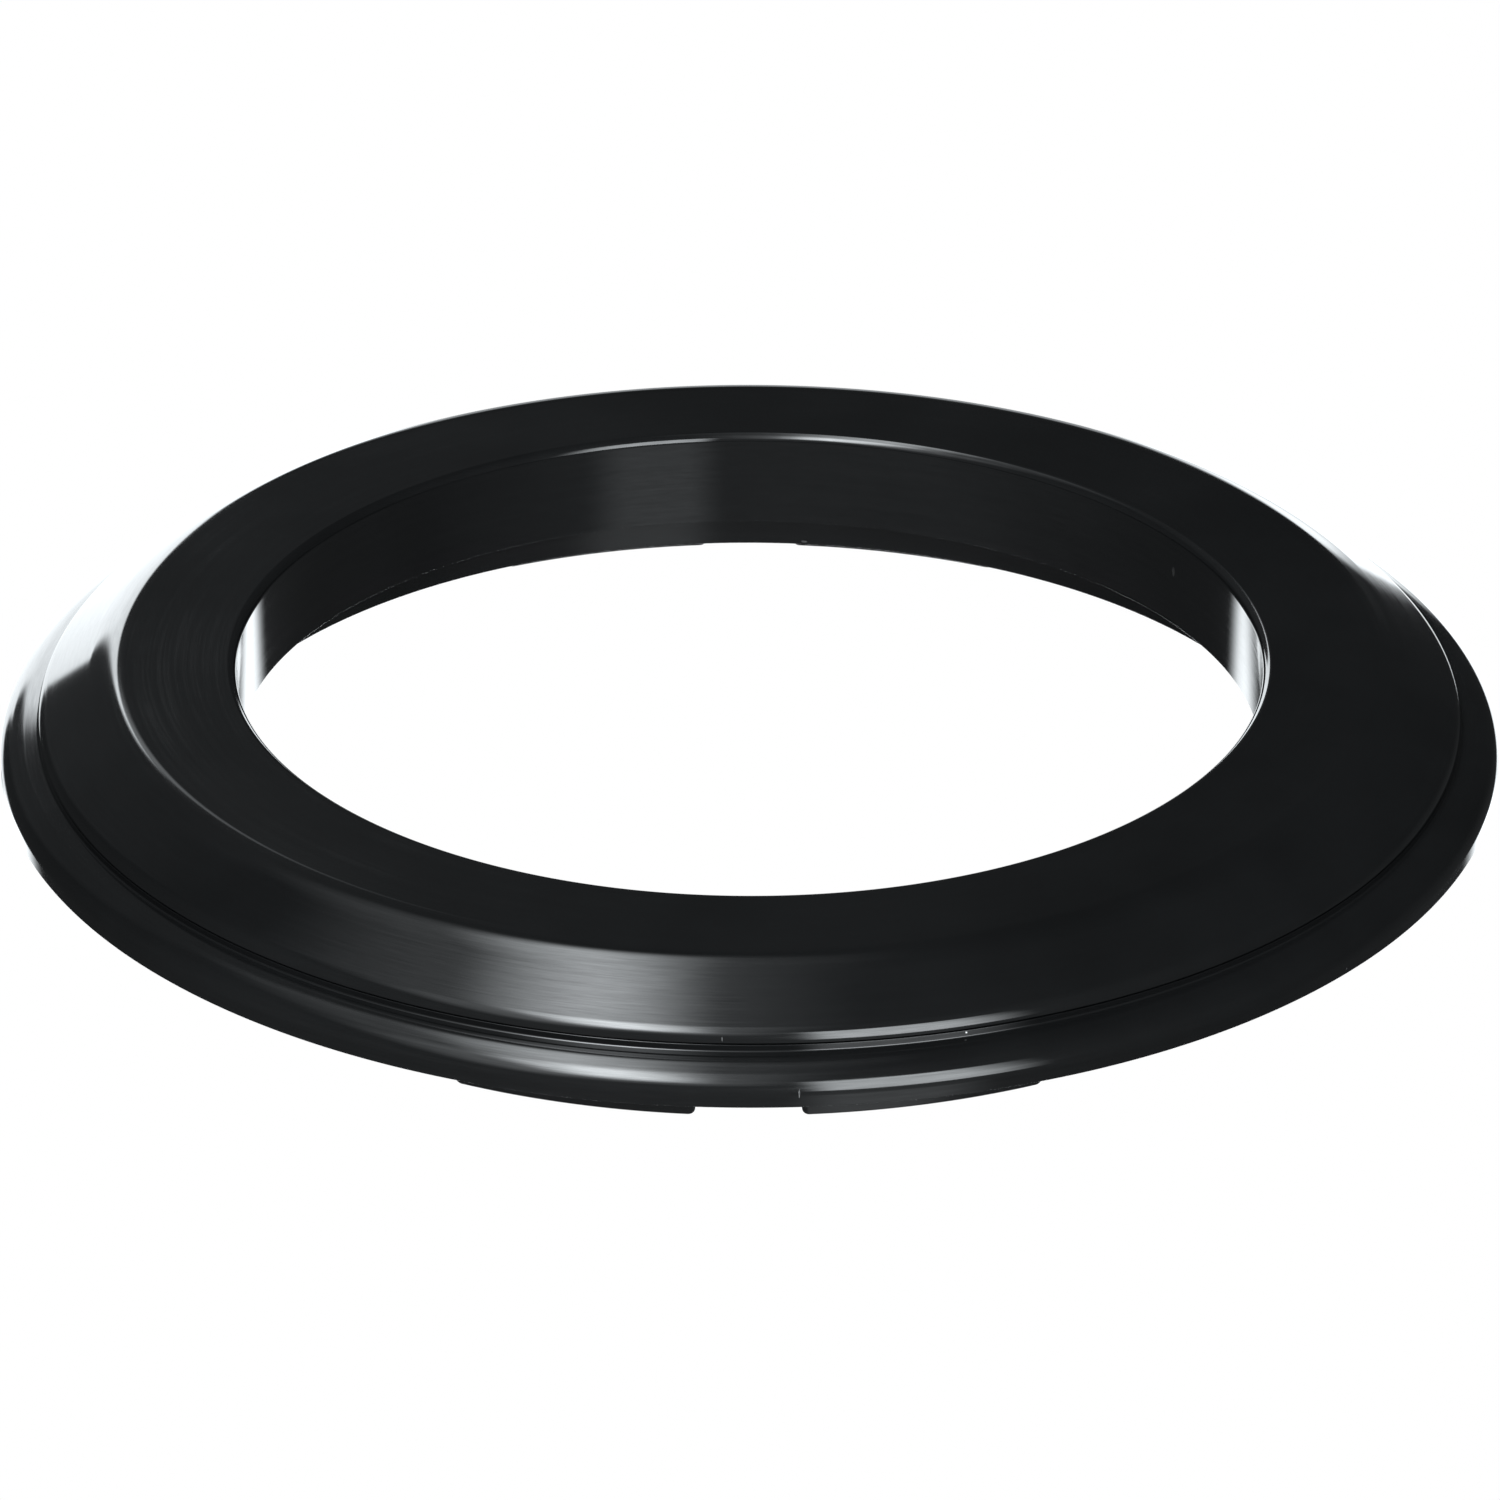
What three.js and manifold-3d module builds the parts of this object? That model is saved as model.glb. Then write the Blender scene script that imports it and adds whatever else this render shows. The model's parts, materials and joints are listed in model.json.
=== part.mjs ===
// Twist-lock mounting ring of a kitchen garbage disposal.
// Millimetres, +Z up along the ring's axis, origin at the centre of the plane that the lugs stand on.
// The cover ring and its snap ring stay still; rim, lug collar and seal turn together beneath it.

import * as THREE from "three";
import { mergeVertices } from "three/addons/utils/BufferGeometryUtils.js";
import Module from "manifold-3d";

const wasm = await Module();
wasm.setup();

// Driving dimensions.
const BORE_RADIUS = 57.15; // a 4-1/2 inch drain bore
const TOP_RADIUS = 71.75; // where the planes of the top and the cone meet
const STEP_RADIUS = 79.34; // step wall at the foot of the cone
const RIM_RADIUS = 83.57;
const SKIRT_INNER_RADIUS = 63.9;
const SKIRT_OUTER_RADIUS = 69.0;
const LUG_RADIUS = 72.2;

const TOP_Z = 18.65;
const BORE_BOTTOM_Z = 7.45;
const PART_LINE_Z = 12.6; // middle of the running gap between cover and rim
const FLANGE_Z = 11.7; // height of the flange's plane at the step wall
const RIM_BOTTOM_Z = 7.37;
const SKIRT_BOTTOM_Z = 1.26;

const WALL = 3.05; // moulded wall of the cover
const GAP = 0.3; // clearance between neighbouring pieces
const CONE_SLOPE = THREE.MathUtils.degToRad(33.5);
const FLANGE_SLOPE = THREE.MathUtils.degToRad(10);
const BORE_FILLET = 1.0;
const CROWN_FILLET = 7.2; // between the flat top and the cone
const STEP_FILLET = 2.1;
const FOOT_FILLET = 0.5; // hollow, from the step wall onto the flange
const RIM_ROUND = [3.3, 2.85]; // half axes of the rim's oval section, across and up
const RIM_BOTTOM_CHAMFER = 0.35;

const LUG_COUNT = 12;
const LUG_WIDTH = 21.1; // degrees
const LUG_HEIGHT = 3.2;
const LUG_ROOT_RADIUS = 66.2;
const LUG_PHASE = 15; // degrees; puts the gaps at 0, 30, 60 and so on

const TWIST_RANGE = 15; // degrees, half the lug pitch
const STOP_COUNT = 3;
const STOP_WIDTH = 6; // degrees
const STOP_CLEARANCE = 0.4; // degrees at each end of the travel
const STOP_RADII = [65.8, 68.8];
const STOP_PHASE = 30;
const STOP_SLOT_Z = 11.84; // floor of the collar's stop slots

const SHOULDER_Z = [11.2, 13.9]; // inward shoulder of the collar, inside the cover
const SHOULDER_OUTER_RADIUS = 70.5;
const COLLAR_OUTER_RADIUS = 74.2;

const KEY_COUNT = 6;
const KEY_WIDTH = 8; // degrees
const KEY_DEPTH = 1.5;

const SNAP_THICKNESS = 1.4;
const SNAP_OUTER_RADIUS = 62.8;
const SNAP_GROOVE_DEPTH = 1.0;
const SNAP_SPLIT = 10; // degrees

const SEAL_SECTION = 2.0;
const SEAL_PROUD = 0.5;
const SEAL_BOTTOM_Z = 5.3;

const SEGMENTS = 72;
const ARC_STEP = THREE.MathUtils.degToRad(19);

const COLOURS = {
  cover: 0x0b0c0e,
  rim: 0x0b0c0e,
  collar: 0x0d0e10,
  steel: 0x8d9094,
  rubber: 0x17181a,
};

// Points of a round or oval arc in the (radius, height) half plane, angles in radians.
function arc(centreR, centreZ, across, up, from, to) {
  const steps = Math.ceil(Math.abs(to - from) / ARC_STEP);
  return Array.from({ length: steps + 1 }, (_, i) => {
    const angle = from + ((to - from) * i) / steps;
    return [centreR + across * Math.cos(angle), centreZ + up * Math.sin(angle)];
  });
}

// A ring turned from a closed profile, listed counter-clockwise with the radius to the right and Z up.
function turnedRing(profile) {
  const closed = [...profile, profile[0]].map(([r, z]) => new THREE.Vector2(r, z));
  const geometry = new THREE.LatheGeometry(closed, SEGMENTS);
  geometry.rotateX(Math.PI / 2);
  return geometry;
}

// An upright block between two radii, centred on an azimuth; angles in degrees.
function sectorBlock(innerR, outerR, lowZ, highZ, centre, width) {
  const start = THREE.MathUtils.degToRad(centre - width / 2);
  const end = THREE.MathUtils.degToRad(centre + width / 2);
  const outline = new THREE.Shape();
  outline.absarc(0, 0, outerR, start, end, false);
  outline.absarc(0, 0, innerR, end, start, true);
  outline.closePath();
  const curveSegments = Math.max(2, Math.round((width * SEGMENTS) / 360));
  const geometry = new THREE.ExtrudeGeometry(outline, {
    depth: highZ - lowZ,
    bevelEnabled: false,
    curveSegments,
  });
  geometry.translate(0, 0, lowZ);
  return geometry;
}

function toSolid(geometry) {
  const bare = geometry.clone();
  bare.deleteAttribute("normal");
  bare.deleteAttribute("uv");
  const merged = mergeVertices(bare, 1e-4);
  return new wasm.Manifold(
    new wasm.Mesh({
      numProp: 3,
      vertProperties: new Float32Array(merged.attributes.position.array),
      triVerts: new Uint32Array(merged.index.array),
    }),
  );
}

function toGeometry(solid) {
  const mesh = solid.getMesh();
  const geometry = new THREE.BufferGeometry();
  geometry.setAttribute("position", new THREE.BufferAttribute(mesh.vertProperties, 3));
  geometry.setIndex(new THREE.BufferAttribute(mesh.triVerts, 1));
  geometry.computeVertexNormals();
  return geometry;
}

// Evenly spaced azimuths in degrees.
function around(count, phase) {
  return Array.from({ length: count }, (_, i) => phase + (360 / count) * i);
}

function addBlocks(solid, blocks) {
  return blocks.reduce((result, block) => result.add(toSolid(block)), solid);
}

function cutBlocks(solid, blocks) {
  return blocks.reduce((result, block) => result.subtract(toSolid(block)), solid);
}

// Flat top, cone, step wall and bore wall as one shell that is open below, with stop ribs under its roof.
function coverRing() {
  const bottomZ = PART_LINE_Z + GAP / 2;
  const ceilingZ = TOP_Z - WALL;
  const boreOuter = BORE_RADIUS + WALL;
  const grooveR = boreOuter - SNAP_GROOVE_DEPTH;
  const grooveLowZ = SHOULDER_Z[0] - SNAP_THICKNESS - 2 * GAP;
  const coneRun = (height) => height / Math.tan(CONE_SLOPE);
  const innerConeR = TOP_RADIUS - WALL / Math.sin(CONE_SLOPE);
  const filletCentreR = STEP_RADIUS - STEP_FILLET;
  const filletTopR = filletCentreR + STEP_FILLET * Math.sin(CONE_SLOPE);
  const filletTopZ = TOP_Z - (filletTopR - TOP_RADIUS) * Math.tan(CONE_SLOPE);
  const filletCentreZ = filletTopZ - STEP_FILLET * Math.cos(CONE_SLOPE);
  const filletStart = Math.asin((bottomZ - filletCentreZ) / STEP_FILLET);
  const crownCentreR = TOP_RADIUS - CROWN_FILLET * Math.tan(CONE_SLOPE / 2);
  const coneNormal = Math.PI / 2 - CONE_SLOPE;
  const profile = [
    [BORE_RADIUS, BORE_BOTTOM_Z],
    [boreOuter, BORE_BOTTOM_Z],
    [boreOuter, grooveLowZ],
    [grooveR, grooveLowZ],
    [grooveR, SHOULDER_Z[0]],
    [boreOuter, SHOULDER_Z[0]],
    [boreOuter, ceilingZ],
    [innerConeR + coneRun(WALL), ceilingZ],
    [innerConeR + coneRun(TOP_Z - bottomZ), bottomZ],
    ...arc(filletCentreR, filletCentreZ, STEP_FILLET, STEP_FILLET, filletStart, coneNormal),
    ...arc(crownCentreR, TOP_Z - CROWN_FILLET, CROWN_FILLET, CROWN_FILLET, coneNormal, Math.PI / 2),
    ...arc(
      BORE_RADIUS + BORE_FILLET,
      TOP_Z - BORE_FILLET,
      BORE_FILLET,
      BORE_FILLET,
      Math.PI / 2,
      Math.PI,
    ),
  ];
  const ribs = around(STOP_COUNT, STOP_PHASE).map((azimuth) =>
    sectorBlock(...STOP_RADII, STOP_SLOT_Z + GAP, ceilingZ + WALL / 2, azimuth, STOP_WIDTH),
  );
  return toGeometry(addBlocks(toSolid(turnedRing(profile)), ribs));
}

// Gently sloped flange with an oval rim; notches on its inside take the collar's keys.
function rimRing() {
  const topZ = PART_LINE_Z - GAP / 2;
  const innerR = COLLAR_OUTER_RADIUS + GAP;
  const [across, up] = RIM_ROUND;
  const flangeNormal = Math.PI / 2 - FLANGE_SLOPE;
  const footCentreR = STEP_RADIUS + FOOT_FILLET;
  const footRise = FOOT_FILLET / Math.cos(FLANGE_SLOPE) - FOOT_FILLET * Math.tan(FLANGE_SLOPE);
  const ovalCentreR = RIM_RADIUS - across;
  const ovalEnd = Math.atan((up / across) * Math.tan(flangeNormal));
  const flangeEndR = ovalCentreR + across * Math.cos(ovalEnd);
  const flangeEndZ = FLANGE_Z - (flangeEndR - STEP_RADIUS) * Math.tan(FLANGE_SLOPE);
  const ovalCentreZ = flangeEndZ - up * Math.sin(ovalEnd);
  const profile = [
    [innerR, RIM_BOTTOM_Z],
    [RIM_RADIUS - RIM_BOTTOM_CHAMFER, RIM_BOTTOM_Z],
    [RIM_RADIUS, RIM_BOTTOM_Z + RIM_BOTTOM_CHAMFER],
    ...arc(ovalCentreR, ovalCentreZ, across, up, 0, ovalEnd),
    ...arc(footCentreR, FLANGE_Z + footRise, -FOOT_FILLET, -FOOT_FILLET, flangeNormal, 0),
    [STEP_RADIUS, topZ],
    [innerR, topZ],
  ];
  const clearance = THREE.MathUtils.radToDeg(GAP / COLLAR_OUTER_RADIUS);
  const notches = around(KEY_COUNT, 0).map((azimuth) =>
    sectorBlock(
      innerR - WALL,
      innerR + KEY_DEPTH,
      RIM_BOTTOM_Z - GAP,
      topZ + GAP,
      azimuth,
      KEY_WIDTH + 2 * clearance,
    ),
  );
  return toGeometry(cutBlocks(toSolid(turnedRing(profile)), notches));
}

// Load-bearing collar: skirt with bayonet lugs, shoulder held by the snap ring, keys into the rim.
function lugCollar() {
  const topZ = PART_LINE_Z - GAP / 2;
  const shoulderInnerR = BORE_RADIUS + WALL + GAP;
  const grooveR = SKIRT_INNER_RADIUS + SEAL_SECTION - SEAL_PROUD + GAP;
  const profile = [
    [SKIRT_INNER_RADIUS, SKIRT_BOTTOM_Z],
    [SKIRT_OUTER_RADIUS, SKIRT_BOTTOM_Z],
    [SKIRT_OUTER_RADIUS, RIM_BOTTOM_Z],
    [COLLAR_OUTER_RADIUS, RIM_BOTTOM_Z],
    [COLLAR_OUTER_RADIUS, topZ],
    [SHOULDER_OUTER_RADIUS, topZ],
    [SHOULDER_OUTER_RADIUS, SHOULDER_Z[1]],
    [shoulderInnerR, SHOULDER_Z[1]],
    [shoulderInnerR, SHOULDER_Z[0]],
    [SKIRT_INNER_RADIUS, SHOULDER_Z[0]],
    [SKIRT_INNER_RADIUS, SEAL_BOTTOM_Z + SEAL_SECTION + GAP],
    [grooveR, SEAL_BOTTOM_Z + SEAL_SECTION + GAP],
    [grooveR, SEAL_BOTTOM_Z - GAP],
    [SKIRT_INNER_RADIUS, SEAL_BOTTOM_Z - GAP],
  ];
  const lugs = around(LUG_COUNT, LUG_PHASE).map((azimuth) =>
    sectorBlock(LUG_ROOT_RADIUS, LUG_RADIUS, 0, LUG_HEIGHT, azimuth, LUG_WIDTH),
  );
  const keys = around(KEY_COUNT, 0).map((azimuth) =>
    sectorBlock(
      SHOULDER_OUTER_RADIUS + 1,
      COLLAR_OUTER_RADIUS + KEY_DEPTH,
      RIM_BOTTOM_Z,
      topZ,
      azimuth,
      KEY_WIDTH,
    ),
  );
  const slotWidth = STOP_WIDTH + TWIST_RANGE + 2 * STOP_CLEARANCE;
  const slots = around(STOP_COUNT, STOP_PHASE - TWIST_RANGE / 2).map((azimuth) =>
    sectorBlock(
      STOP_RADII[0] - GAP,
      STOP_RADII[1] + GAP,
      STOP_SLOT_Z,
      SHOULDER_Z[1] + GAP,
      azimuth,
      slotWidth,
    ),
  );
  const body = addBlocks(toSolid(turnedRing(profile)), [...lugs, ...keys]);
  return toGeometry(cutBlocks(body, slots));
}

// Split retaining ring in the groove of the bore wall.
function snapRing() {
  const innerR = BORE_RADIUS + WALL - SNAP_GROOVE_DEPTH + GAP;
  const highZ = SHOULDER_Z[0] - GAP;
  return sectorBlock(innerR, SNAP_OUTER_RADIUS, highZ - SNAP_THICKNESS, highZ, 180, 360 - SNAP_SPLIT);
}

// Rubber ring of octagonal section in the groove of the collar's inner wall.
function sealRing() {
  const innerR = SKIRT_INNER_RADIUS - SEAL_PROUD;
  const corner = SEAL_SECTION * 0.3;
  const outerR = innerR + SEAL_SECTION;
  const topZ = SEAL_BOTTOM_Z + SEAL_SECTION;
  return turnedRing([
    [innerR + corner, SEAL_BOTTOM_Z],
    [outerR - corner, SEAL_BOTTOM_Z],
    [outerR, SEAL_BOTTOM_Z + corner],
    [outerR, topZ - corner],
    [outerR - corner, topZ],
    [innerR + corner, topZ],
    [innerR, topZ - corner],
    [innerR, SEAL_BOTTOM_Z + corner],
  ]);
}

function piece(name, geometry, color, roughness, metalness) {
  const material = new THREE.MeshStandardMaterial({ color, roughness, metalness });
  const mesh = new THREE.Mesh(geometry, material);
  mesh.name = name;
  return mesh;
}

const still = new THREE.Group();
still.add(piece("cover_ring", coverRing(), COLOURS.cover, 0.18, 0.0));
still.add(piece("snap_ring", snapRing(), COLOURS.steel, 0.35, 1.0));

const turning = new THREE.Group();
turning.add(piece("rim_ring", rimRing(), COLOURS.rim, 0.18, 0.0));
turning.add(piece("lug_collar", lugCollar(), COLOURS.collar, 0.25, 0.0));
turning.add(piece("seal_ring", sealRing(), COLOURS.rubber, 0.8, 0.0));

const mountingRing = new THREE.Group();
mountingRing.add(still, turning);

export default mountingRing;
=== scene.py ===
import json
import math

import bmesh
import bpy
from mathutils import Matrix, Vector


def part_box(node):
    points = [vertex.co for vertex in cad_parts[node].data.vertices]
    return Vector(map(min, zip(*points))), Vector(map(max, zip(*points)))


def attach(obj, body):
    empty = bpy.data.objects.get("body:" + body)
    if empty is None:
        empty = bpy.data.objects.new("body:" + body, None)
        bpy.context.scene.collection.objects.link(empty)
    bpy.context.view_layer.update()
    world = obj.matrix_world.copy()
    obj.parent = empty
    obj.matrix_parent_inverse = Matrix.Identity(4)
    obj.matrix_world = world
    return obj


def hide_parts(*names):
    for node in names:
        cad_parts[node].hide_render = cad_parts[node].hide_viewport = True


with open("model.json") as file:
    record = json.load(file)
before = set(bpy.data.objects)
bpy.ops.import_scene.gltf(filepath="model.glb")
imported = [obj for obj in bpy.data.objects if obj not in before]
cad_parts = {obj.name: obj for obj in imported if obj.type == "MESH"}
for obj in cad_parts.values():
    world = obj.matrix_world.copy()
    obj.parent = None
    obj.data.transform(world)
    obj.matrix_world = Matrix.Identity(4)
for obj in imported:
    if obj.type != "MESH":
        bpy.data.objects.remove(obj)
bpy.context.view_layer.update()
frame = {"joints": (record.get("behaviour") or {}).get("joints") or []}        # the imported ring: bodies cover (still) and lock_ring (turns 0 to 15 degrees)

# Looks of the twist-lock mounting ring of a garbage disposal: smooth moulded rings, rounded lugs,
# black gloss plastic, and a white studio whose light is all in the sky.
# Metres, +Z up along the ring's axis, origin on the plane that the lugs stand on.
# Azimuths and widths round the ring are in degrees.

MM = 0.001

# ---------------------------------------------------------------- sizes, from the frame where it holds them

TOP_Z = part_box("cover_ring")[1].z
BORE_BOTTOM_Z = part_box("cover_ring")[0].z
RIM_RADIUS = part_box("rim_ring")[1].x
RIM_BOTTOM_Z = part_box("rim_ring")[0].z
GAP = 0.3 * MM
PART_LINE_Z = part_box("rim_ring")[1].z + GAP / 2
SHOULDER_TOP_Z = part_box("lug_collar")[1].z
KEY_OUTER_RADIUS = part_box("lug_collar")[1].x
SNAP_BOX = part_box("snap_ring")
SEAL_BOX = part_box("seal_ring")

BORE_RADIUS = 57.15 * MM
TOP_RADIUS = 71.75 * MM
STEP_RADIUS = 79.34 * MM
FLANGE_Z = 11.7 * MM
WALL = 3.05 * MM
CONE_SLOPE = math.radians(33.5)
FLANGE_SLOPE = math.radians(10)
BORE_FILLET = 1.0 * MM
CROWN_FILLET = 7.2 * MM
STEP_FILLET = 2.1 * MM
FOOT_FILLET = 0.2 * MM
RIM_ACROSS = 3.3 * MM
RIM_UP = 2.85 * MM
SEEN_GAP = 0.15 * MM

# Small fillets, from the edges that must not catch light up to the hidden inner corners.
FINE_FILLET = 0.06 * MM
PART_LINE_FILLET = 0.08 * MM
PART_LINE_RIM_FILLET = 0.05 * MM
LIP_FILLET = 0.1 * MM
EDGE_FILLET = 0.2 * MM
SMALL_FILLET = 0.3 * MM
ROOT_FILLET = 0.4 * MM
CEILING_FILLET = 0.5 * MM

# How far a key stands out of the collar, and how far out of its shoulder it starts.
KEY_HEIGHT = 1.5 * MM
KEY_SUNK = 1.0 * MM
COLLAR_OUTER_RADIUS = KEY_OUTER_RADIUS - KEY_HEIGHT
SKIRT_INNER_RADIUS = 63.9 * MM
SKIRT_OUTER_RADIUS = 69.0 * MM
SKIRT_BOTTOM_Z = 1.26 * MM
SHOULDER_BOTTOM_Z = SNAP_BOX[1].z + GAP
SHOULDER_OUTER_RADIUS = 70.5 * MM
LUG_RADIUS = 72.2 * MM
LUG_ROOT_RADIUS = 66.2 * MM
LUG_HEIGHT = 3.2 * MM
LUG_COUNT = 12
LUG_WIDTH = 21.1
LUG_PHASE = 15
LUG_CORNER = 0.8 * MM
LUG_EDGE = 0.2 * MM

KEY_COUNT = 6
KEY_WIDTH = 8
STOP_COUNT = 3
STOP_WIDTH = 6
STOP_PHASE = 30
STOP_RADII = (65.8 * MM, 68.8 * MM)
STOP_SLOT_Z = 11.84 * MM
STOP_CLEARANCE = 0.4
TWIST_RANGE = frame["joints"][0]["range_deg"][1]

SNAP_GROOVE_DEPTH = 1.0 * MM
SNAP_OPENING = 10
SNAP_EDGE = 0.25 * MM
SEAL_SEGMENTS = 24

SEGMENTS = 360
FILLET_STEP = math.radians(4)
SMALL_FILLET_STEP = math.radians(12)
SHARP_ANGLE = math.radians(32)

# ---------------------------------------------------------------- camera

CAMERA_ELEVATION = math.radians(27.04)
CAMERA_DISTANCE = 1.0033
CAMERA_LENS = 214.93
CAMERA_ROLL = math.radians(-0.107)
CAMERA_TARGET = Vector((0.074 * MM, 0, 6.39 * MM))
SENSOR_WIDTH = 36
CLIP_NEAR = 0.05
CLIP_FAR = 100


def make_camera():
    back = Vector((0, -math.cos(CAMERA_ELEVATION), math.sin(CAMERA_ELEVATION)))
    level_right = Vector((1, 0, 0))
    level_up = back.cross(level_right)
    c, s = math.cos(CAMERA_ROLL), math.sin(CAMERA_ROLL)
    right = level_right * c - level_up * s
    up = level_right * s + level_up * c
    data = bpy.data.cameras.new("camera")
    data.lens = CAMERA_LENS
    data.sensor_width = SENSOR_WIDTH
    data.clip_start = CLIP_NEAR
    data.clip_end = CLIP_FAR
    camera = bpy.data.objects.new("camera", data)
    place = Matrix((right, up, back)).transposed().to_4x4()
    place.translation = CAMERA_TARGET + back * CAMERA_DISTANCE
    camera.matrix_world = place
    bpy.context.scene.collection.objects.link(camera)
    bpy.context.scene.camera = camera


# ---------------------------------------------------------------- mesh helpers


def rounded(corners):
    """The closed outline through corners (radius, height, fillet), each corner turned into an arc."""
    points = []
    count = len(corners)
    for i, (r, z, fillet) in enumerate(corners):
        here = Vector((r, z))
        before = (Vector(corners[i - 1][:2]) - here).normalized()
        after = (Vector(corners[(i + 1) % count][:2]) - here).normalized()
        inside = math.acos(max(-1.0, min(1.0, before.dot(after))))
        turn = math.pi - inside
        if fillet <= 0 or turn < 1e-4:
            points.append((r, z))
            continue
        tangent = fillet / math.tan(inside / 2)
        centre = here + (before + after).normalized() * (fillet / math.sin(inside / 2))
        start = here + before * tangent - centre
        side = 1 if before.cross(after) < 0 else -1
        step = FILLET_STEP if fillet > CEILING_FILLET else SMALL_FILLET_STEP
        steps = max(2, math.ceil(turn / step))
        for k in range(steps + 1):
            angle = side * turn * k / steps
            c, s = math.cos(angle), math.sin(angle)
            points.append((centre.x + start.x * c - start.y * s, centre.y + start.x * s + start.y * c))
    return points


def arc(centre_r, centre_z, across, up, start, end):
    """Plain corners along a round or oval arc, angles in radians."""
    steps = math.ceil(abs(end - start) / FILLET_STEP)
    angles = [start + (end - start) * i / steps for i in range(steps + 1)]
    return [(centre_r + across * math.cos(a), centre_z + up * math.sin(a), 0) for a in angles]


def new_object(name, bm):
    mesh = bpy.data.meshes.new(name)
    bm.to_mesh(mesh)
    bm.free()
    piece = bpy.data.objects.new(name, mesh)
    bpy.context.scene.collection.objects.link(piece)
    return piece


def lathe(name, outline):
    """A ring turned from a closed outline of (radius, height), listed counter-clockwise with Z up."""
    bm = bmesh.new()
    columns = []
    for i in range(SEGMENTS):
        angle = 2 * math.pi * i / SEGMENTS
        c, s = math.cos(angle), math.sin(angle)
        columns.append([bm.verts.new((r * c, r * s, z)) for r, z in outline])
    count = len(outline)
    for i in range(SEGMENTS):
        here, there = columns[i], columns[(i + 1) % SEGMENTS]
        for k in range(count):
            after = (k + 1) % count
            bm.faces.new((here[k], there[k], there[after], here[after]))
    bm.normal_update()
    return new_object(name, bm)


def sector(name, inner, outer, low, high, centre, width, bevel=0.0, corner=0.0):
    """An upright block between two radii, with rounded lower corners; azimuth and width in degrees."""
    bm = bmesh.new()
    half = math.radians(width) * outer / 2
    count = max(2, round(width))
    lifts = [(half - corner, low)]
    if corner > 0:
        turns = [math.radians(a) for a in range(0, 91, 15)]
        lifts = [(half - corner + corner * math.sin(a), low + corner * (1 - math.cos(a))) for a in turns]
    inside = [(lifts[0][0] * (2 * i / count - 1), low) for i in range(1, count)]
    columns = [(-x, z) for x, z in reversed(lifts)] + inside + lifts
    rows = []
    for along, foot in columns:
        angle = math.radians(centre) + along / outer
        c, s = math.cos(angle), math.sin(angle)
        ring = [(inner, foot), (outer, foot), (outer, high), (inner, high)]
        rows.append([bm.verts.new((r * c, r * s, z)) for r, z in ring])
    for i in range(len(rows) - 1):
        for k in range(4):
            after = (k + 1) % 4
            bm.faces.new((rows[i][k], rows[i + 1][k], rows[i + 1][after], rows[i][after]))
    bm.faces.new(rows[0])
    bm.faces.new(list(reversed(rows[-1])))
    bm.normal_update()
    if bevel > 0:
        edges = [e for e in bm.edges if e.calc_face_angle(0) > SHARP_ANGLE]
        bmesh.ops.bevel(bm, geom=edges, offset=bevel, segments=3, profile=0.5, affect="EDGES")
    return new_object(name, bm)


def boolean(piece, tools, operation):
    """Joins the tools to the piece, or cuts them out of it, and removes them."""
    for tool in tools:
        modifier = piece.modifiers.new("boolean", "BOOLEAN")
        modifier.operation = operation
        modifier.solver = "MANIFOLD"
        modifier.object = tool
    evaluated = piece.evaluated_get(bpy.context.evaluated_depsgraph_get())
    mesh = bpy.data.meshes.new_from_object(evaluated)
    piece.modifiers.clear()
    piece.data = mesh
    for tool in tools:
        bpy.data.objects.remove(tool)


def smooth(piece):
    """Smooth shading that keeps flat faces flat and stops at sharp edges."""
    bm = bmesh.new()
    bm.from_mesh(piece.data)
    for face in bm.faces:
        face.smooth = True
    for edge in bm.edges:
        edge.smooth = edge.calc_face_angle(0) < SHARP_ANGLE
    bm.to_mesh(piece.data)
    bm.free()
    weighted = piece.modifiers.new("weighted", "WEIGHTED_NORMAL")
    weighted.keep_sharp = True


def around(count, phase):
    return [phase + 360 / count * i for i in range(count)]


# ---------------------------------------------------------------- node helpers


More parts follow.
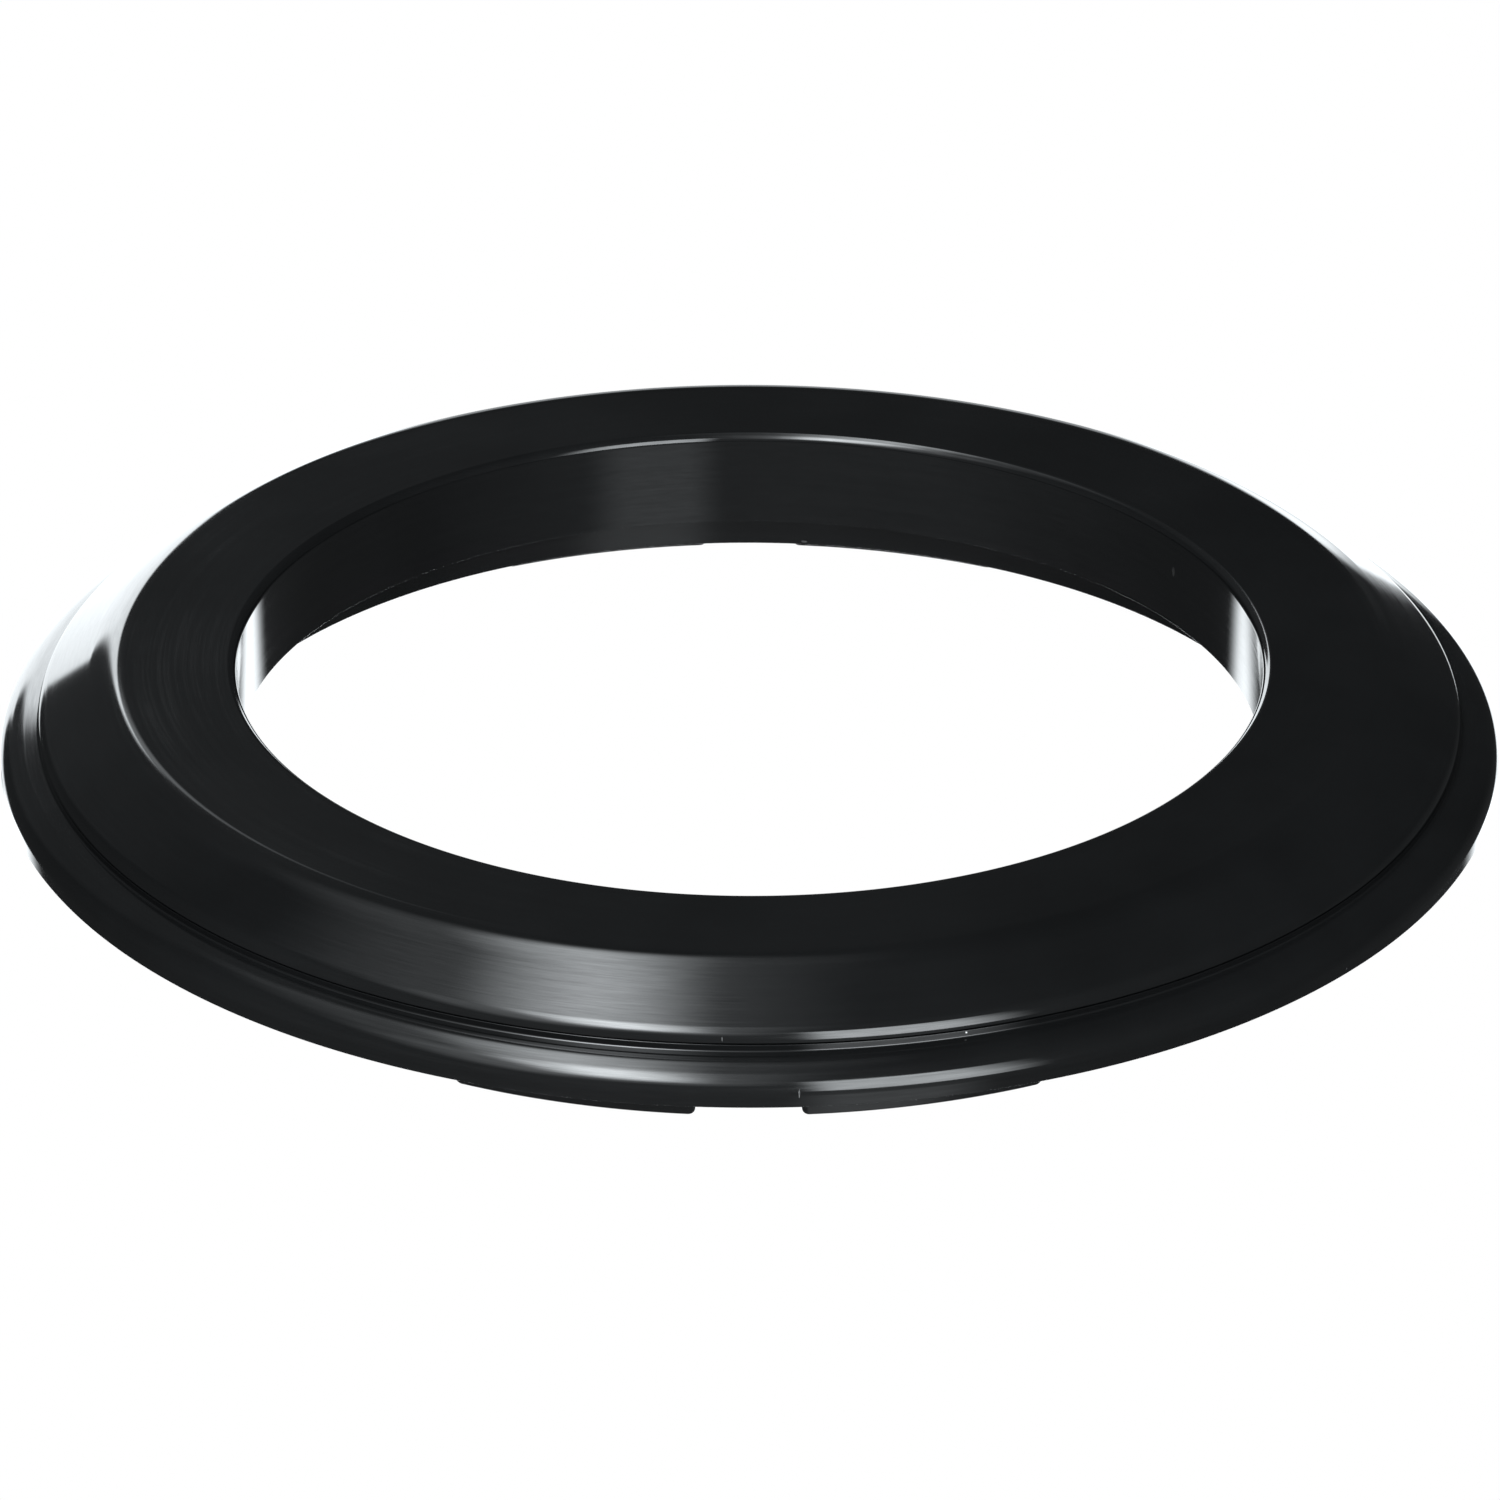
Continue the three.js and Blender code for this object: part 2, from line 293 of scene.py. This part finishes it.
class Nodes:
    """Short calls for building one node tree."""

    def __init__(self, tree):
        self.tree = tree

    def add(self, kind, **settings):
        node = self.tree.nodes.new(kind)
        for key, value in settings.items():
            setattr(node, key, value)
        return node

    def feed(self, socket, value):
        if isinstance(value, bpy.types.NodeSocket):
            self.tree.links.new(value, socket)
        else:
            socket.default_value = value

    def math(self, operation, *values):
        node = self.add("ShaderNodeMath", operation=operation)
        for socket, value in zip(node.inputs, values):
            self.feed(socket, value)
        return node.outputs[0]

    def vector(self, operation, *values):
        node = self.add("ShaderNodeVectorMath", operation=operation)
        for socket, value in zip(node.inputs, values):
            self.feed(socket, value)
        return node.outputs["Value"] if operation in ("DOT_PRODUCT", "LENGTH") else node.outputs["Vector"]

    def span(self, value, low, high, out_low=0.0, out_high=1.0, kind="SMOOTHSTEP"):
        node = self.add("ShaderNodeMapRange", interpolation_type=kind)
        for name, x in (("Value", value), ("From Min", low), ("From Max", high)):
            self.feed(node.inputs[name], x)
        self.feed(node.inputs["To Min"], out_low)
        self.feed(node.inputs["To Max"], out_high)
        return node.outputs["Result"]

    def noise(self, vector, scale, detail=2.0, roughness=0.5):
        node = self.add("ShaderNodeTexNoise")
        self.feed(node.inputs["Vector"], vector)
        self.feed(node.inputs["Scale"], scale)
        self.feed(node.inputs["Detail"], detail)
        self.feed(node.inputs["Roughness"], roughness)
        return node.outputs["Fac"]

    def combine(self, x, y, z):
        node = self.add("ShaderNodeCombineXYZ")
        for socket, value in zip(node.inputs, (x, y, z)):
            self.feed(socket, value)
        return node.outputs[0]

    def mix(self, factor, first, second):
        node = self.add("ShaderNodeMix", data_type="RGBA")
        for name, x in (("Factor", factor), ("A", first), ("B", second)):
            self.feed(node.inputs[name], x)
        return node.outputs["Result"]

    def bump(self, height, distance):
        node = self.add("ShaderNodeBump")
        self.feed(node.inputs["Height"], height)
        self.feed(node.inputs["Distance"], distance)
        return node.outputs["Normal"]


def new_material(name, shader_kind="ShaderNodeBsdfPrincipled"):
    """An empty material with one shader on its surface."""
    material = bpy.data.materials.new(name)
    material.use_nodes = True
    material.node_tree.nodes.clear()
    n = Nodes(material.node_tree)
    output = n.add("ShaderNodeOutputMaterial")
    shader = n.add(shader_kind)
    n.feed(output.inputs["Surface"], shader.outputs[0])
    return material, n, shader


def direction(azimuth, elevation):
    a, e = math.radians(azimuth), math.radians(elevation)
    return Vector((math.cos(e) * math.cos(a), math.cos(e) * math.sin(a), math.sin(e)))


# ---------------------------------------------------------------- materials

BLACK = (0.0041, 0.0043, 0.0045)
COLLAR_BLACK = (0.0055, 0.0057, 0.0060)
DUST = (0.10, 0.10, 0.105, 1)
STEEL_TONES = (0.36, 0.37, 0.39, 1), (0.50, 0.50, 0.51, 1)
RUBBER_TONES = (0.016, 0.016, 0.017, 1), (0.030, 0.030, 0.031, 1)
MARK_DEPTH = 0.8 * MM

# Lighter marks: where they sit (azimuth, radius, height), half width and half height, and lightness.
COVER_MARKS = [
    ((31.8, 57.15 * MM, 14.05 * MM, 0.30 * MM, 0.60 * MM), 0.025),
    ((-92.0, 79.25 * MM, 13.10 * MM, 0.06 * MM, 0.24 * MM), 0.10),
]
RIM_MARKS = [
    ((-86.4, 83.50 * MM, 8.95 * MM, 0.06 * MM, 0.50 * MM), 0.14),
    ((-73.4, 79.34 * MM, 12.20 * MM, 0.12 * MM, 0.12 * MM), 0.60),
]
COLLAR_MARKS = [
    ((84.2, 63.90 * MM, 1.70 * MM, 0.40 * MM, 0.15 * MM), 0.10),
]


def ring_coordinates(n):
    """Object position, the unit direction round the axis, and the distance along the ring's profile."""
    position = n.add("ShaderNodeTexCoord").outputs["Object"]
    split = n.add("ShaderNodeSeparateXYZ")
    n.feed(split.inputs[0], position)
    x, y, z = split.outputs
    radius = n.math("SQRT", n.math("ADD", n.math("MULTIPLY", x, x), n.math("MULTIPLY", y, y)))
    return position, n.math("DIVIDE", x, radius), n.math("DIVIDE", y, radius), n.math("SUBTRACT", radius, z)


def streaks(n, east, north, across, length, width):
    """Noise drawn out round the ring: length in radians, width in metres."""
    vector = n.combine(
        n.math("MULTIPLY", east, 1 / length),
        n.math("MULTIPLY", north, 1 / length),
        n.math("MULTIPLY", across, 1 / width),
    )
    return n.noise(vector, 1.0, detail=3.0, roughness=0.6)


def spot(n, position, azimuth, radius, height, half_width, half_height):
    """1 inside a small oval mark at one place on the ring, in metres; azimuth in degrees."""
    outward = direction(azimuth, 0)
    centre = outward * radius + Vector((0, 0, height))
    sideways = Vector((-outward.y, outward.x, 0))
    offset = n.vector("SUBTRACT", position, tuple(centre))
    total = 0.0
    for axis, half in ((sideways, half_width), (Vector((0, 0, 1)), half_height), (outward, MARK_DEPTH)):
        part = n.math("DIVIDE", n.vector("DOT_PRODUCT", offset, tuple(axis)), half)
        total = n.math("ADD", total, n.math("MULTIPLY", part, part))
    return n.span(total, 1.2, 0.5)


def moulded_plastic(name, colour, roughness, fine_depth, turning, handled, marks):
    """Black gloss plastic with turning marks round the ring, scuffs, dust and a few lighter marks.

    fine_depth is the depth of the turning marks in the bump, turning how much they vary the gloss,
    and handled how much rougher the scuffs are.
    """
    material, n, shader = new_material(name)
    position, east, north, across = ring_coordinates(n)

    fine = streaks(n, east, north, across, 0.05, 0.16 * MM)
    long = streaks(n, east, north, across, 0.5, 0.45 * MM)
    patches = n.noise(position, 45.0, detail=3.0)
    scuffed = n.span(n.math("MULTIPLY", patches, long), 0.24, 0.40)

    specks = n.add("ShaderNodeTexVoronoi", feature="F1")
    n.feed(specks.inputs["Vector"], position)
    n.feed(specks.inputs["Scale"], 260.0)
    chosen = n.math("GREATER_THAN", n.noise(specks.outputs["Position"], 900.0, detail=0.0), 0.70)
    dust = n.math("MULTIPLY", n.span(specks.outputs["Distance"], 0.035, 0.012), chosen)

    darker = (*(c * 0.85 for c in colour), 1)
    lighter = (*(c * 1.2 for c in colour), 1)
    tone = n.mix(n.span(patches, 0.3, 0.7), darker, lighter)
    tone = n.mix(n.math("MULTIPLY", dust, 0.5), tone, DUST)
    for place, lightness in marks:
        tone = n.mix(spot(n, position, *place), tone, (lightness, lightness, lightness, 1))
    n.feed(shader.inputs["Base Color"], tone)

    base = n.span(long, 0.25, 0.75, roughness * 0.85, roughness * 1.15, "LINEAR")
    worn = n.math("ADD", base, n.math("MULTIPLY", scuffed, handled))
    n.feed(shader.inputs["Roughness"], n.math("ADD", worn, n.math("MULTIPLY", dust, 0.3)))
    n.feed(shader.inputs["IOR"], 1.5)
    turned = n.math("ADD", n.math("MULTIPLY", fine, 0.6), n.math("MULTIPLY", long, 0.4))
    gloss = n.span(turned, 0.32, 0.68, 0.5 - turning, 0.5 + turning, "LINEAR")
    n.feed(shader.inputs["Specular IOR Level"], gloss)
    relief = n.math("ADD", fine, n.math("MULTIPLY", long, 1.5))
    n.feed(shader.inputs["Normal"], n.bump(relief, fine_depth))
    return material


def spring_steel():
    """Bright steel wire with fine drawing marks along it."""
    material, n, shader = new_material("spring_steel")
    position, east, north, across = ring_coordinates(n)
    drawn = streaks(n, east, north, across, 0.4, 0.08 * MM)
    tint = n.span(n.noise(position, 60.0, detail=3.0), 0.3, 0.7)
    n.feed(shader.inputs["Base Color"], n.mix(tint, *STEEL_TONES))
    n.feed(shader.inputs["Metallic"], 1.0)
    n.feed(shader.inputs["Roughness"], n.span(drawn, 0.3, 0.7, 0.24, 0.42, "LINEAR"))
    n.feed(shader.inputs["Normal"], n.bump(drawn, 0.004 * MM))
    return material


def seal_rubber():
    """Matt black rubber with a fine grain and a faint bloom."""
    material, n, shader = new_material("seal_rubber")
    position = n.add("ShaderNodeTexCoord").outputs["Object"]
    bloom = n.noise(position, 80.0, detail=4.0)
    grain = n.noise(position, 4000.0, detail=2.0)
    n.feed(shader.inputs["Base Color"], n.mix(n.span(bloom, 0.35, 0.7), *RUBBER_TONES))
    n.feed(shader.inputs["Roughness"], n.span(bloom, 0.3, 0.7, 0.62, 0.8, "LINEAR"))
    n.feed(shader.inputs["Normal"], n.bump(grain, 0.01 * MM))
    return material


# ---------------------------------------------------------------- the pieces


def make_cover():
    """Flat top, crowned edge, cone and step wall outside; smooth bore and snap ring groove inside."""
    bottom_z = PART_LINE_Z - GAP / 2 + SEEN_GAP
    ceiling_z = TOP_Z - WALL
    bore_outer = BORE_RADIUS + WALL
    groove_r = bore_outer - SNAP_GROOVE_DEPTH
    groove_low_z = SNAP_BOX[0].z - GAP
    slope = math.tan(CONE_SLOPE)
    upright = math.pi / 2
    cone_normal = upright - CONE_SLOPE
    inner_cone_r = TOP_RADIUS - WALL / math.sin(CONE_SLOPE)
    step_r = STEP_RADIUS - STEP_FILLET
    cone_end_r = step_r + STEP_FILLET * math.sin(CONE_SLOPE)
    step_z = TOP_Z - (cone_end_r - TOP_RADIUS) * slope - STEP_FILLET * math.cos(CONE_SLOPE)
    step_start = math.asin((bottom_z - step_z) / STEP_FILLET)
    step_arc = arc(step_r, step_z, STEP_FILLET, STEP_FILLET, step_start, cone_normal)
    crown_r = TOP_RADIUS - CROWN_FILLET * math.tan(CONE_SLOPE / 2)
    outline = rounded([
        (BORE_RADIUS, BORE_BOTTOM_Z, FINE_FILLET),
        (bore_outer, BORE_BOTTOM_Z, SMALL_FILLET),
        (bore_outer, groove_low_z, 0),
        (groove_r, groove_low_z, 0),
        (groove_r, SHOULDER_BOTTOM_Z, 0),
        (bore_outer, SHOULDER_BOTTOM_Z, 0),
        (bore_outer, ceiling_z, CEILING_FILLET),
        (inner_cone_r + WALL / slope, ceiling_z, CEILING_FILLET),
        (inner_cone_r + (TOP_Z - bottom_z) / slope, bottom_z, LIP_FILLET),
        (*step_arc[0][:2], PART_LINE_FILLET),
        *step_arc[1:],
        *arc(crown_r, TOP_Z - CROWN_FILLET, CROWN_FILLET, CROWN_FILLET, cone_normal, upright),
        (BORE_RADIUS, TOP_Z, BORE_FILLET),
    ])
    cover = lathe("cover_shell", outline)
    ribs = [
        sector(f"rib_{i}", *STOP_RADII, STOP_SLOT_Z + GAP, ceiling_z + WALL / 2, azimuth, STOP_WIDTH)
        for i, azimuth in enumerate(around(STOP_COUNT, STOP_PHASE))
    ]
    boolean(cover, ribs, "UNION")
    return cover


def make_rim():
    """Sloped flange with an oval rim, notched for the collar's keys."""
    top_z = PART_LINE_Z - GAP / 2
    inner_r = COLLAR_OUTER_RADIUS + GAP
    flange_normal = math.pi / 2 - FLANGE_SLOPE
    slope = math.tan(FLANGE_SLOPE)
    foot_z = FLANGE_Z + FOOT_FILLET / math.cos(FLANGE_SLOPE) - FOOT_FILLET * slope
    oval_r = RIM_RADIUS - RIM_ACROSS
    oval_end = math.atan(RIM_UP / RIM_ACROSS * math.tan(flange_normal))
    flange_end_r = oval_r + RIM_ACROSS * math.cos(oval_end)
    flange_end_z = FLANGE_Z - (flange_end_r - STEP_RADIUS) * slope
    oval_z = flange_end_z - RIM_UP * math.sin(oval_end)
    outline = rounded([
        (inner_r, RIM_BOTTOM_Z, EDGE_FILLET),
        (RIM_RADIUS, RIM_BOTTOM_Z, FINE_FILLET),
        *arc(oval_r, oval_z, RIM_ACROSS, RIM_UP, 0, oval_end),
        *arc(STEP_RADIUS + FOOT_FILLET, foot_z, -FOOT_FILLET, -FOOT_FILLET, flange_normal, 0),
        (STEP_RADIUS, top_z, PART_LINE_RIM_FILLET),
        (inner_r, top_z, EDGE_FILLET),
    ])
    rim = lathe("rim_grip", outline)
    clearance = math.degrees(GAP / COLLAR_OUTER_RADIUS)
    notches = [
        sector(f"notch_{i}", inner_r - WALL, KEY_OUTER_RADIUS + GAP, RIM_BOTTOM_Z - GAP, top_z + GAP,
               azimuth, KEY_WIDTH + 2 * clearance)
        for i, azimuth in enumerate(around(KEY_COUNT, 0))
    ]
    boolean(rim, notches, "DIFFERENCE")
    return rim


def make_collar():
    """Skirt with twelve bayonet lugs, a shoulder under the cover, keys for the rim and three stop slots."""
    top_z = PART_LINE_Z - GAP / 2
    shoulder_inner_r = BORE_RADIUS + WALL + GAP
    groove_r = SEAL_BOX[1].x + GAP
    outline = rounded([
        (SKIRT_INNER_RADIUS, SKIRT_BOTTOM_Z, SMALL_FILLET),
        (SKIRT_OUTER_RADIUS, SKIRT_BOTTOM_Z, SMALL_FILLET),
        (SKIRT_OUTER_RADIUS, RIM_BOTTOM_Z, ROOT_FILLET),
        (COLLAR_OUTER_RADIUS, RIM_BOTTOM_Z, EDGE_FILLET),
        (COLLAR_OUTER_RADIUS, top_z, EDGE_FILLET),
        (SHOULDER_OUTER_RADIUS, top_z, EDGE_FILLET),
        (SHOULDER_OUTER_RADIUS, SHOULDER_TOP_Z, SMALL_FILLET),
        (shoulder_inner_r, SHOULDER_TOP_Z, SMALL_FILLET),
        (shoulder_inner_r, SHOULDER_BOTTOM_Z, EDGE_FILLET),
        (SKIRT_INNER_RADIUS, SHOULDER_BOTTOM_Z, ROOT_FILLET),
        (SKIRT_INNER_RADIUS, SEAL_BOX[1].z + GAP, LIP_FILLET),
        (groove_r, SEAL_BOX[1].z + GAP, EDGE_FILLET),
        (groove_r, SEAL_BOX[0].z - GAP, EDGE_FILLET),
        (SKIRT_INNER_RADIUS, SEAL_BOX[0].z - GAP, LIP_FILLET),
    ])
    collar = lathe("lug_skirt", outline)
    lugs = [
        sector(f"lug_{i}", LUG_ROOT_RADIUS, LUG_RADIUS, 0, LUG_HEIGHT, azimuth, LUG_WIDTH,
               bevel=LUG_EDGE, corner=LUG_CORNER)
        for i, azimuth in enumerate(around(LUG_COUNT, LUG_PHASE))
    ]
    keys = [
        sector(f"key_{i}", SHOULDER_OUTER_RADIUS + KEY_SUNK, KEY_OUTER_RADIUS, RIM_BOTTOM_Z, top_z,
               azimuth, KEY_WIDTH, bevel=EDGE_FILLET)
        for i, azimuth in enumerate(around(KEY_COUNT, 0))
    ]
    boolean(collar, lugs + keys, "UNION")
    slot_width = STOP_WIDTH + TWIST_RANGE + 2 * STOP_CLEARANCE
    slots = [
        sector(f"slot_{i}", STOP_RADII[0] - GAP, STOP_RADII[1] + GAP, STOP_SLOT_Z, SHOULDER_TOP_Z + GAP,
               azimuth, slot_width)
        for i, azimuth in enumerate(around(STOP_COUNT, STOP_PHASE - TWIST_RANGE / 2))
    ]
    boolean(collar, slots, "DIFFERENCE")
    return collar


def make_snap_ring():
    """Split spring ring, open at azimuth 0."""
    outer = SNAP_BOX[1].y
    inner = BORE_RADIUS + WALL - SNAP_GROOVE_DEPTH + GAP
    low, high = SNAP_BOX[0].z, SNAP_BOX[1].z
    return sector("snap_wire", inner, outer, low, high, 180, 360 - SNAP_OPENING, bevel=SNAP_EDGE)


def make_seal():
    """Rubber cord of round section, closed into a ring."""
    section = (SEAL_BOX[1].z - SEAL_BOX[0].z) / 2
    centre_r = SEAL_BOX[1].x - section
    centre_z = (SEAL_BOX[0].z + SEAL_BOX[1].z) / 2
    angles = [2 * math.pi * i / SEAL_SEGMENTS for i in range(SEAL_SEGMENTS)]
    outline = [(centre_r + section * math.cos(a), centre_z + section * math.sin(a)) for a in angles]
    return lathe("seal_cord", outline)


def dress(piece, material, body, node):
    """Gives a piece its shading and material, ties it to its body and hides its CAD node."""
    smooth(piece)
    piece.data.materials.clear()
    piece.data.materials.append(material)
    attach(piece, body)
    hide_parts(node)


# ---------------------------------------------------------------- studio

ROOM_LIGHT = 0.03
FRONT_LIGHT = 0.26
LIGHT_TINT = (0.95, 1.0, 1.03, 1)
FLOOR_RADIUS = 7.9
BACKDROP_RADIUS = 8.0

# The strip softbox: azimuth, elevation and roll, then where it rises and falls across and along.
# Its halo is the same but wider, and both lean in by the taper.
STRIP_PLACE = (-132.3, 60.2, 32.6)
STRIP_ACROSS = (-0.17, 0.09, 0.09, 0.31)
STRIP_ALONG = (-0.75, -0.30, 1.08, 1.90)
STRIP_TAPER = 0.07
HALO_ACROSS = (-0.55, -0.12, 0.15, 0.58)
HALO_ALONG = (-1.10, -0.50, 1.00, 2.20)
HALO_SHARE = 0.10

# Cards on the sky. Each corner is azimuth, elevation, and the softness of the edge that starts there.
FILL_CARD = [(-80, -3, 0.02), (-53, -3, 0.13), (-53, 40, 0.03), (-80, 40, 0.05)]
FILL_LIGHT = 8.0
GLOW_CARD = [(-80, -38, 0.06), (-57, -38, 0.10), (-57, -3, 0.02), (-80, -3, 0.08)]
TALL_CARD = [(100.3, 0, 0.01), (117.5, 0, 0.01), (117.5, 5.5, 0.01), (103, 27, 0.02), (100.3, 31, 0.01)]
LOW_CARD = [(95, -10, 0.02), (117.5, -10, 0.015), (117.5, 5.5, 0.01), (110, 9, 0.01), (100.3, 9, 0.015)]
RIGHT_CARD = [
    (75.3, -10, 0.06), (84, -10, 0.04), (82, 5, 0.04), (80, 11.5, 0.02), (77.8, 11.5, 0.02), (75.2, 5, 0.04),
]
BETWEEN_CARD = [(80, -24, 0.03), (100, -24, 0.03), (100, 0, 0.08), (80, 0, 0.03)]
BETWEEN_SHARE = 0.2
TABLE_LEFT_CARD = [(93, -25, 0.02), (121, -25, 0.02), (117.5, -9, 0.02), (95, -9, 0.02)]
TABLE_RIGHT_CARD = [(62, -25, 0.02), (87, -25, 0.02), (84, -9, 0.02), (75, -9, 0.02)]
APRON_CARD = [(47, -34, 0.06), (136, -34, 0.05), (123, -24.5, 0.02), (61, -24.2, 0.05)]
STREAK_CARD = [(103, 25.5, 0.01), (95, 28, 0.05), (95, 30.5, 0.01), (103, 30, 0.01)]
STREAK_LIGHT = 1.1


def soft_strip(n, view, across, along):
    """1 inside the soft strip, and the place along it; across and along say where it rises and falls."""
    azimuth, elevation, roll = STRIP_PLACE
    centre = direction(azimuth, elevation)
    level = Vector((-math.sin(math.radians(azimuth)), math.cos(math.radians(azimuth)), 0))
    rise = centre.cross(level)
    c, s = math.cos(math.radians(roll)), math.sin(math.radians(roll))
    side = level * c + rise * s
    top = rise * c - level * s
    depth = n.vector("DOT_PRODUCT", view, tuple(centre))
    ahead = n.math("MAXIMUM", depth, 0.02)
    u = n.math("DIVIDE", n.vector("DOT_PRODUCT", view, tuple(side)), ahead)
    v = n.math("DIVIDE", n.vector("DOT_PRODUCT", view, tuple(top)), ahead)
    leaning = n.math("ADD", u, n.math("MULTIPLY", v, STRIP_TAPER))
    mask = n.math("GREATER_THAN", depth, 0.05)
    for rising, falling, edges in ((u, leaning, across), (v, v, along)):
        rise_start, rise_end, fall_start, fall_end = edges
        mask = n.math("MULTIPLY", mask, n.span(rising, rise_start, rise_end))
        mask = n.math("MULTIPLY", mask, n.span(falling, fall_end, fall_start))
    return mask, v


def soft_card(n, view, corners):
    """1 inside a convex card on the sky."""
    points = [direction(azimuth, elevation) for azimuth, elevation, _ in corners]
    centre = sum(points, Vector())
    mask = 1.0
    for i, (_, _, soft) in enumerate(corners):
        normal = points[i].cross(points[(i + 1) % len(points)]).normalized()
        if normal.dot(centre) < 0:
            normal.negate()
        side = n.vector("DOT_PRODUCT", view, tuple(normal))
        mask = n.math("MULTIPLY", mask, n.span(side, -soft, soft))
    return mask


def room_light(n, view):
    """Dark room, lighter to the front, high up at the back left and low down at the right."""
    front = n.span(n.vector("DOT_PRODUCT", view, (-0.17, -0.98, 0)), -1.0, 1.0, 0.0, 1.0, "LINEAR")
    room = n.math("ADD", n.math("MULTIPLY", n.math("MULTIPLY", front, front), FRONT_LIGHT), ROOM_LIGHT)
    high_left = n.vector("DOT_PRODUCT", view, tuple(direction(118, 30)))
    low_right = n.vector("DOT_PRODUCT", view, tuple(direction(30, -27)))
    light = n.math("ADD", room, n.span(high_left, 0.87, 0.96, 0.0, 0.06))
    return n.math("ADD", light, n.span(low_right, 0.80, 0.97, 0.0, 0.035))


def strip_light(n, view):
    """Strip softbox from the front left up over the ring, strongest at its lower end, with a faint halo."""
    key, along = soft_strip(n, view, STRIP_ACROSS, STRIP_ALONG)
    halo, _ = soft_strip(n, view, HALO_ACROSS, HALO_ALONG)
    strength = n.span(along, -0.02, 0.32, 15.6, 6.9)
    return n.math("MULTIPLY", n.math("ADD", key, n.math("MULTIPLY", halo, HALO_SHARE)), strength)


def white_cards_light(n, view, z):
    """White cards and table behind the ring, brighter towards the top and on the table close by."""
    right = n.math("MULTIPLY", soft_card(n, view, RIGHT_CARD), n.span(z, -0.20, 0.05, 0.55, 1.0))
    white = n.math("MULTIPLY", soft_card(n, view, BETWEEN_CARD), BETWEEN_SHARE)
    white = n.math("MAXIMUM", white, right)
    for corners in (TALL_CARD, LOW_CARD, TABLE_LEFT_CARD, TABLE_RIGHT_CARD, APRON_CARD):
        white = n.math("MAXIMUM", white, soft_card(n, view, corners))
    upward = n.span(z, -0.40, 0.28, 1.4, 5.4, "LINEAR")
    close_by = n.span(z, -0.39, -0.44, 0.0, 2.3)
    return n.math("MULTIPLY", white, n.math("ADD", upward, close_by))


def make_world():
    world = bpy.data.worlds.new("studio")
    bpy.context.scene.world = world
    world.use_nodes = True
    world.node_tree.nodes.clear()
    n = Nodes(world.node_tree)
    output = n.add("ShaderNodeOutputWorld")
    background = n.add("ShaderNodeBackground")
    n.feed(output.inputs["Surface"], background.outputs[0])
    view = n.add("ShaderNodeTexCoord").outputs["Generated"]
    split = n.add("ShaderNodeSeparateXYZ")
    n.feed(split.inputs[0], view)
    z = split.outputs[2]

    # An upright softbox low at the front right has a glow on the table under it.
    # A thin streak runs out to the right from the tall card's top, and the table under the ring is pale.
    light = room_light(n, view)
    glow_light = n.span(z, -0.36, -0.49, 0.20, 0.80)
    for part in (
        strip_light(n, view),
        n.math("MULTIPLY", soft_card(n, view, FILL_CARD), FILL_LIGHT),
        n.math("MULTIPLY", soft_card(n, view, GLOW_CARD), glow_light),
        white_cards_light(n, view, z),
        n.math("MULTIPLY", soft_card(n, view, STREAK_CARD), STREAK_LIGHT),
        n.span(z, -0.60, -0.80, 0.0, 0.08),
    ):
        light = n.math("ADD", light, part)
    n.feed(background.inputs["Strength"], light)
    n.feed(background.inputs["Color"], LIGHT_TINT)


def white_card(name, one_way):
    """Plain white; a one-way card is clear from behind."""
    material, n, shader = new_material(name, "ShaderNodeMixShader" if one_way else "ShaderNodeEmission")
    glow = n.add("ShaderNodeEmission") if one_way else shader
    n.feed(glow.inputs["Strength"], 1.0)
    if one_way:
        n.feed(shader.inputs[0], n.add("ShaderNodeNewGeometry").outputs["Backfacing"])
        n.feed(shader.inputs[1], glow.outputs[0])
        n.feed(shader.inputs[2], n.add("ShaderNodeBsdfTransparent").outputs[0])
    return material


def make_stage():
    """White floor and backdrop that only the camera sees, so that all the light comes from the sky."""
    floor_bm = bmesh.new()
    bmesh.ops.create_circle(floor_bm, cap_ends=True, radius=FLOOR_RADIUS, segments=64)
    floor = new_object("floor", floor_bm)
    floor.data.materials.append(white_card("floor_white", True))
    dome_bm = bmesh.new()
    bmesh.ops.create_uvsphere(dome_bm, u_segments=64, v_segments=32, radius=BACKDROP_RADIUS)
    dome = new_object("backdrop", dome_bm)
    dome.data.materials.append(white_card("backdrop_white", False))
    for card in (floor, dome):
        card.visible_diffuse = False
        card.visible_glossy = False
        card.visible_transmission = False
        card.visible_shadow = False


# ---------------------------------------------------------------- build

make_camera()
make_world()
make_stage()

cover_plastic = moulded_plastic(
    "cover_plastic", BLACK, roughness=0.07, fine_depth=0.0003 * MM, turning=0.11, handled=0.04,
    marks=COVER_MARKS,
)
rim_plastic = moulded_plastic(
    "rim_plastic", BLACK, roughness=0.07, fine_depth=0.0003 * MM, turning=0.11, handled=0.05,
    marks=RIM_MARKS,
)
collar_plastic = moulded_plastic(
    "collar_plastic", COLLAR_BLACK, roughness=0.14, fine_depth=0.0006 * MM, turning=0.06, handled=0.06,
    marks=COLLAR_MARKS,
)

dress(make_cover(), cover_plastic, "cover", "cover_ring")
dress(make_rim(), rim_plastic, "lock_ring", "rim_ring")
dress(make_collar(), collar_plastic, "lock_ring", "lug_collar")
dress(make_snap_ring(), spring_steel(), "cover", "snap_ring")
dress(make_seal(), seal_rubber(), "lock_ring", "seal_ring")

bpy.context.scene.view_settings.view_transform = "Standard"
